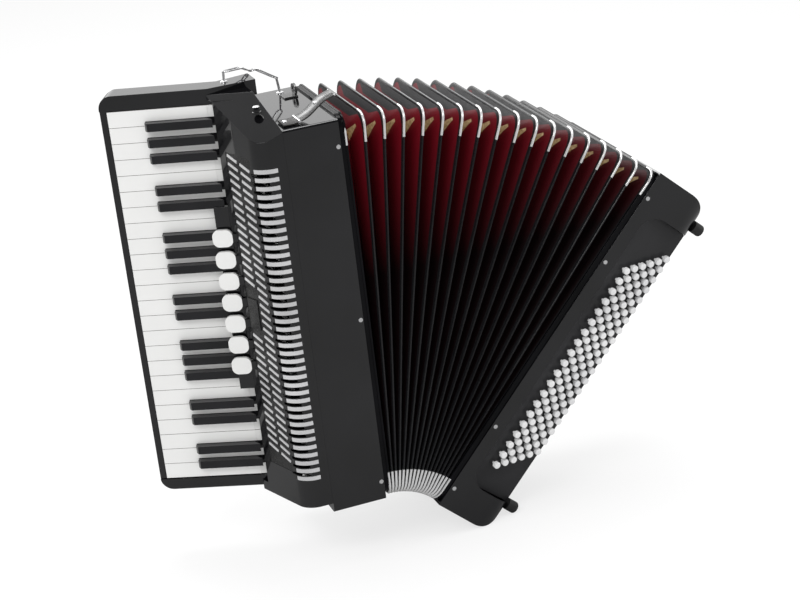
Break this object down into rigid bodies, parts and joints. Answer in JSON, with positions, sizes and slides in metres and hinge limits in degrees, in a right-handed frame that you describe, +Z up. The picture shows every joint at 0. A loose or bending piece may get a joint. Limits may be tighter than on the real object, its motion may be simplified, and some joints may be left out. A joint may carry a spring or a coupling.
{
  "type": "piano accordion",
  "caption": "Piano accordion with a keyboard treble side, a button bass side and a folded red and black bellows that fans open between them.",
  "frame": {"origin": "middle of the treble case's back, the face that rests on the player's chest", "axes": "+Z up along the keyboard to the chin end, +Y back towards the player, +X from the keyboard to the bass side"},
  "size_m": [0.6951, 0.1748, 0.6092],
  "materials": {
    "case_gloss": "polished black celluloid",
    "bright_trim": "satin silver",
    "steel": "polished",
    "reed_wood": "plain varnished",
    "bellows_tape": "black cloth tape",
    "bellows_red": "dark red bellows cloth",
    "white_key": "polished white",
    "black_key": "satin black",
    "button_white": "pearl white",
    "board": "satin dark grey",
    "rubber": "matt",
    "strap_leather": "grained black",
    "dark_plastic": "satin"
  },
  "bodies": {
    "treble": {"treble_case": "case_gloss", "treble_grille_cover": "case_gloss", "grille_trim": "bright_trim", "keyboard_bed": "case_gloss", "key_axle": "steel", "treble_reed_blocks": "reed_wood", "treble_bellows_frame": "bellows_tape", "treble_screws": "steel", "strap_brackets": "steel", "bellows_leaves": "bellows_red"},
    "ridge_01": {"bellows_ridge_01": "bellows_tape"},
    "ridge_02": {"bellows_ridge_02": "bellows_tape"},
    "ridge_03": {"bellows_ridge_03": "bellows_tape"},
    "ridge_04": {"bellows_ridge_04": "bellows_tape"},
    "ridge_05": {"bellows_ridge_05": "bellows_tape"},
    "ridge_06": {"bellows_ridge_06": "bellows_tape"},
    "ridge_07": {"bellows_ridge_07": "bellows_tape"},
    "ridge_08": {"bellows_ridge_08": "bellows_tape"},
    "ridge_09": {"bellows_ridge_09": "bellows_tape"},
    "ridge_10": {"bellows_ridge_10": "bellows_tape"},
    "ridge_11": {"bellows_ridge_11": "bellows_tape"},
    "ridge_12": {"bellows_ridge_12": "bellows_tape"},
    "ridge_13": {"bellows_ridge_13": "bellows_tape"},
    "ridge_14": {"bellows_ridge_14": "bellows_tape"},
    "ridge_15": {"bellows_ridge_15": "bellows_tape"},
    "ridge_16": {"bellows_ridge_16": "bellows_tape"},
    "bass": {"bass_case": "case_gloss", "bass_cover": "case_gloss", "button_board": "board", "bass_reed_blocks": "reed_wood", "bass_bellows_frame": "bellows_tape", "bass_feet": "rubber", "bass_screws": "steel", "hand_strap": "strap_leather"},
    "bellows_strap_top": {"bellows_strap_top": "strap_leather"},
    "bellows_strap_bottom": {"bellows_strap_bottom": "strap_leather"},
    "keys_c": {"keys_c": "white_key"},
    "keys_d": {"keys_d": "white_key"},
    "keys_e": {"keys_e": "white_key"},
    "keys_f": {"keys_f": "white_key"},
    "keys_g": {"keys_g": "white_key"},
    "keys_a": {"keys_a": "white_key"},
    "keys_b": {"keys_b": "white_key"},
    "black_keys_pairs": {"black_keys_pairs": "black_key"},
    "black_keys_triples": {"black_keys_triples": "black_key"},
    "register_tab_1": {"register_tab_1": "white_key"},
    "register_tab_2": {"register_tab_2": "white_key"},
    "register_tab_3": {"register_tab_3": "white_key"},
    "register_tab_4": {"register_tab_4": "white_key"},
    "register_tab_5": {"register_tab_5": "white_key"},
    "register_tab_6": {"register_tab_6": "white_key"},
    "register_tab_7": {"register_tab_7": "white_key"},
    "bass_buttons_1": {"bass_buttons_1": "button_white"},
    "bass_buttons_2": {"bass_buttons_2": "button_white"},
    "bass_buttons_3": {"bass_buttons_3": "button_white"},
    "bass_buttons_4": {"bass_buttons_4": "button_white"},
    "bass_buttons_5": {"bass_buttons_5": "button_white"},
    "bass_buttons_6": {"bass_buttons_6": "button_white"},
    "air_button": {"air_button": "dark_plastic"},
    "strap_adjuster_wheel": {"strap_adjuster_wheel": "dark_plastic"}
  },
  "joints": [
    {"name": "bellows_fold_01", "type": "hinge", "parent": "treble", "child": "ridge_01", "pos_m": [0.04174, -0.085, -0.2432], "axis": [0, 1, 0], "range_deg": [-2.51, 0.5], "deforming": ["bellows_leaves"]},
    {"name": "bellows_fold_02", "type": "hinge", "parent": "ridge_01", "child": "ridge_02", "pos_m": [0.04511, -0.085, -0.24335], "axis": [0, 1, 0], "range_deg": [-2.51, 0.5]},
    {"name": "bellows_fold_03", "type": "hinge", "parent": "ridge_02", "child": "ridge_03", "pos_m": [0.04847, -0.085, -0.24364], "axis": [0, 1, 0], "range_deg": [-2.51, 0.5]},
    {"name": "bellows_fold_04", "type": "hinge", "parent": "ridge_03", "child": "ridge_04", "pos_m": [0.05181, -0.085, -0.24408], "axis": [0, 1, 0], "range_deg": [-2.51, 0.5]},
    {"name": "bellows_fold_05", "type": "hinge", "parent": "ridge_04", "child": "ridge_05", "pos_m": [0.05513, -0.085, -0.24467], "axis": [0, 1, 0], "range_deg": [-2.51, 0.5]},
    {"name": "bellows_fold_06", "type": "hinge", "parent": "ridge_05", "child": "ridge_06", "pos_m": [0.05842, -0.085, -0.2454], "axis": [0, 1, 0], "range_deg": [-2.51, 0.5]},
    {"name": "bellows_fold_07", "type": "hinge", "parent": "ridge_06", "child": "ridge_07", "pos_m": [0.06168, -0.085, -0.24628], "axis": [0, 1, 0], "range_deg": [-2.51, 0.5]},
    {"name": "bellows_fold_08", "type": "hinge", "parent": "ridge_07", "child": "ridge_08", "pos_m": [0.0649, -0.085, -0.2473], "axis": [0, 1, 0], "range_deg": [-2.51, 0.5]},
    {"name": "bellows_fold_09", "type": "hinge", "parent": "ridge_08", "child": "ridge_09", "pos_m": [0.06807, -0.085, -0.24845], "axis": [0, 1, 0], "range_deg": [-2.51, 0.5]},
    {"name": "bellows_fold_10", "type": "hinge", "parent": "ridge_09", "child": "ridge_10", "pos_m": [0.07118, -0.085, -0.24975], "axis": [0, 1, 0], "range_deg": [-2.51, 0.5]},
    {"name": "bellows_fold_11", "type": "hinge", "parent": "ridge_10", "child": "ridge_11", "pos_m": [0.07423, -0.085, -0.25118], "axis": [0, 1, 0], "range_deg": [-2.51, 0.5]},
    {"name": "bellows_fold_12", "type": "hinge", "parent": "ridge_11", "child": "ridge_12", "pos_m": [0.07723, -0.085, -0.25274], "axis": [0, 1, 0], "range_deg": [-2.51, 0.5]},
    {"name": "bellows_fold_13", "type": "hinge", "parent": "ridge_12", "child": "ridge_13", "pos_m": [0.08014, -0.085, -0.25443], "axis": [0, 1, 0], "range_deg": [-2.51, 0.5]},
    {"name": "bellows_fold_14", "type": "hinge", "parent": "ridge_13", "child": "ridge_14", "pos_m": [0.08299, -0.085, -0.25625], "axis": [0, 1, 0], "range_deg": [-2.51, 0.5]},
    {"name": "bellows_fold_15", "type": "hinge", "parent": "ridge_14", "child": "ridge_15", "pos_m": [0.08574, -0.085, -0.25819], "axis": [0, 1, 0], "range_deg": [-2.51, 0.5]},
    {"name": "bellows_fold_16", "type": "hinge", "parent": "ridge_15", "child": "ridge_16", "pos_m": [0.08842, -0.085, -0.26025], "axis": [0, 1, 0], "range_deg": [-2.51, 0.5]},
    {"name": "bellows_fold_17", "type": "hinge", "parent": "ridge_16", "child": "bass", "pos_m": [0.091, -0.085, -0.26242], "axis": [0, 1, 0], "range_deg": [-2.51, 0.5]},
    {"name": "bellows_strap_top_lift", "type": "hinge", "parent": "treble", "child": "bellows_strap_top", "pos_m": [-0.0278, -0.147, 0.2419], "axis": [0, -1, 0], "range_deg": [0, 60]},
    {"name": "bellows_strap_bottom_drop", "type": "hinge", "parent": "treble", "child": "bellows_strap_bottom", "pos_m": [-0.0278, -0.05, -0.2419], "axis": [0, 1, 0], "range_deg": [0, 60]},
    {"name": "keys_c_press", "type": "hinge", "parent": "treble", "child": "keys_c", "pos_m": [-0.07099, -0.07916, 0.026], "axis": [0, 0, -1], "range_deg": [0, 1.9], "stiffness_Nm_per_rad": 4.8, "springref_deg": -5.16},
    {"name": "keys_d_press", "type": "hinge", "parent": "treble", "child": "keys_d", "pos_m": [-0.07099, -0.07916, 0.026], "axis": [0, 0, -1], "range_deg": [0, 1.9], "stiffness_Nm_per_rad": 4.8, "springref_deg": -5.16},
    {"name": "keys_e_press", "type": "hinge", "parent": "treble", "child": "keys_e", "pos_m": [-0.07099, -0.07916, 0.026], "axis": [0, 0, -1], "range_deg": [0, 1.9], "stiffness_Nm_per_rad": 4.8, "springref_deg": -5.16},
    {"name": "keys_f_press", "type": "hinge", "parent": "treble", "child": "keys_f", "pos_m": [-0.07099, -0.07916, 0.026], "axis": [0, 0, -1], "range_deg": [0, 1.9], "stiffness_Nm_per_rad": 6.4, "springref_deg": -5.16},
    {"name": "keys_g_press", "type": "hinge", "parent": "treble", "child": "keys_g", "pos_m": [-0.07099, -0.07916, 0.026], "axis": [0, 0, -1], "range_deg": [0, 1.9], "stiffness_Nm_per_rad": 6.4, "springref_deg": -5.16},
    {"name": "keys_a_press", "type": "hinge", "parent": "treble", "child": "keys_a", "pos_m": [-0.07099, -0.07916, 0.026], "axis": [0, 0, -1], "range_deg": [0, 1.9], "stiffness_Nm_per_rad": 6.4, "springref_deg": -5.16},
    {"name": "keys_b_press", "type": "hinge", "parent": "treble", "child": "keys_b", "pos_m": [-0.07099, -0.07916, 0.026], "axis": [0, 0, -1], "range_deg": [0, 1.9], "stiffness_Nm_per_rad": 4.8, "springref_deg": -5.16},
    {"name": "black_keys_pairs_press", "type": "hinge", "parent": "treble", "child": "black_keys_pairs", "pos_m": [-0.07099, -0.07916, 0.026], "axis": [0, 0, -1], "range_deg": [0, 1.9], "stiffness_Nm_per_rad": 9.6, "springref_deg": -5.16},
    {"name": "black_keys_triples_press", "type": "hinge", "parent": "treble", "child": "black_keys_triples", "pos_m": [-0.07099, -0.07916, 0.026], "axis": [0, 0, -1], "range_deg": [0, 1.9], "stiffness_Nm_per_rad": 17.6, "springref_deg": -5.16},
    {"name": "register_tab_1_press", "type": "hinge", "parent": "treble", "child": "register_tab_1", "pos_m": [-0.08433, -0.10346, 0.1045], "axis": [0, 0, -1], "range_deg": [0, 7], "stiffness_Nm_per_rad": 0.3, "springref_deg": -5.73},
    {"name": "register_tab_2_press", "type": "hinge", "parent": "treble", "child": "register_tab_2", "pos_m": [-0.08433, -0.10346, 0.07755], "axis": [0, 0, -1], "range_deg": [0, 7], "stiffness_Nm_per_rad": 0.3, "springref_deg": -5.73},
    {"name": "register_tab_3_press", "type": "hinge", "parent": "treble", "child": "register_tab_3", "pos_m": [-0.08433, -0.10346, 0.0506], "axis": [0, 0, -1], "range_deg": [0, 7], "stiffness_Nm_per_rad": 0.3, "springref_deg": -5.73},
    {"name": "register_tab_4_press", "type": "hinge", "parent": "treble", "child": "register_tab_4", "pos_m": [-0.08433, -0.10346, 0.02365], "axis": [0, 0, -1], "range_deg": [0, 7], "stiffness_Nm_per_rad": 0.3, "springref_deg": -5.73},
    {"name": "register_tab_5_press", "type": "hinge", "parent": "treble", "child": "register_tab_5", "pos_m": [-0.08433, -0.10346, -0.0033], "axis": [0, 0, -1], "range_deg": [0, 7], "stiffness_Nm_per_rad": 0.3, "springref_deg": -5.73},
    {"name": "register_tab_6_press", "type": "hinge", "parent": "treble", "child": "register_tab_6", "pos_m": [-0.08433, -0.10346, -0.03025], "axis": [0, 0, -1], "range_deg": [0, 7], "stiffness_Nm_per_rad": 0.3, "springref_deg": -5.73},
    {"name": "register_tab_7_press", "type": "hinge", "parent": "treble", "child": "register_tab_7", "pos_m": [-0.08433, -0.10346, -0.0572], "axis": [0, 0, -1], "range_deg": [0, 7], "stiffness_Nm_per_rad": 0.3, "springref_deg": -5.73},
    {"name": "bass_buttons_1_press", "type": "slide", "parent": "bass", "child": "bass_buttons_1", "axis": [-0.2078, 0.9593, 0.1914], "range_m": [0, 0.004], "stiffness_N_per_m": 400, "springref_m": -0.008},
    {"name": "bass_buttons_2_press", "type": "slide", "parent": "bass", "child": "bass_buttons_2", "axis": [-0.2078, 0.9593, 0.1914], "range_m": [0, 0.004], "stiffness_N_per_m": 400, "springref_m": -0.008},
    {"name": "bass_buttons_3_press", "type": "slide", "parent": "bass", "child": "bass_buttons_3", "axis": [-0.2078, 0.9593, 0.1914], "range_m": [0, 0.004], "stiffness_N_per_m": 400, "springref_m": -0.008},
    {"name": "bass_buttons_4_press", "type": "slide", "parent": "bass", "child": "bass_buttons_4", "axis": [-0.2078, 0.9593, 0.1914], "range_m": [0, 0.004], "stiffness_N_per_m": 400, "springref_m": -0.008},
    {"name": "bass_buttons_5_press", "type": "slide", "parent": "bass", "child": "bass_buttons_5", "axis": [-0.2078, 0.9593, 0.1914], "range_m": [0, 0.004], "stiffness_N_per_m": 400, "springref_m": -0.008},
    {"name": "bass_buttons_6_press", "type": "slide", "parent": "bass", "child": "bass_buttons_6", "axis": [-0.2078, 0.9593, 0.1914], "range_m": [0, 0.004], "stiffness_N_per_m": 400, "springref_m": -0.008},
    {"name": "air_button_press", "type": "slide", "parent": "bass", "child": "air_button", "axis": [-0.7357, 0, 0.6773], "range_m": [0, 0.005], "stiffness_N_per_m": 300, "springref_m": -0.008},
    {"name": "strap_adjuster_turn", "type": "hinge", "parent": "bass", "child": "strap_adjuster_wheel", "pos_m": [0.46738, -0.055, 0.02651], "axis": [0, 1, 0], "continuous": true}
  ],
  "couplings": [
    {"joint": "bellows_fold_02", "follows": "bellows_fold_01", "ratio": 1},
    {"joint": "bellows_fold_03", "follows": "bellows_fold_01", "ratio": 1},
    {"joint": "bellows_fold_04", "follows": "bellows_fold_01", "ratio": 1},
    {"joint": "bellows_fold_05", "follows": "bellows_fold_01", "ratio": 1},
    {"joint": "bellows_fold_06", "follows": "bellows_fold_01", "ratio": 1},
    {"joint": "bellows_fold_07", "follows": "bellows_fold_01", "ratio": 1},
    {"joint": "bellows_fold_08", "follows": "bellows_fold_01", "ratio": 1},
    {"joint": "bellows_fold_09", "follows": "bellows_fold_01", "ratio": 1},
    {"joint": "bellows_fold_10", "follows": "bellows_fold_01", "ratio": 1},
    {"joint": "bellows_fold_11", "follows": "bellows_fold_01", "ratio": 1},
    {"joint": "bellows_fold_12", "follows": "bellows_fold_01", "ratio": 1},
    {"joint": "bellows_fold_13", "follows": "bellows_fold_01", "ratio": 1},
    {"joint": "bellows_fold_14", "follows": "bellows_fold_01", "ratio": 1},
    {"joint": "bellows_fold_15", "follows": "bellows_fold_01", "ratio": 1},
    {"joint": "bellows_fold_16", "follows": "bellows_fold_01", "ratio": 1},
    {"joint": "bellows_fold_17", "follows": "bellows_fold_01", "ratio": 1}
  ]
}
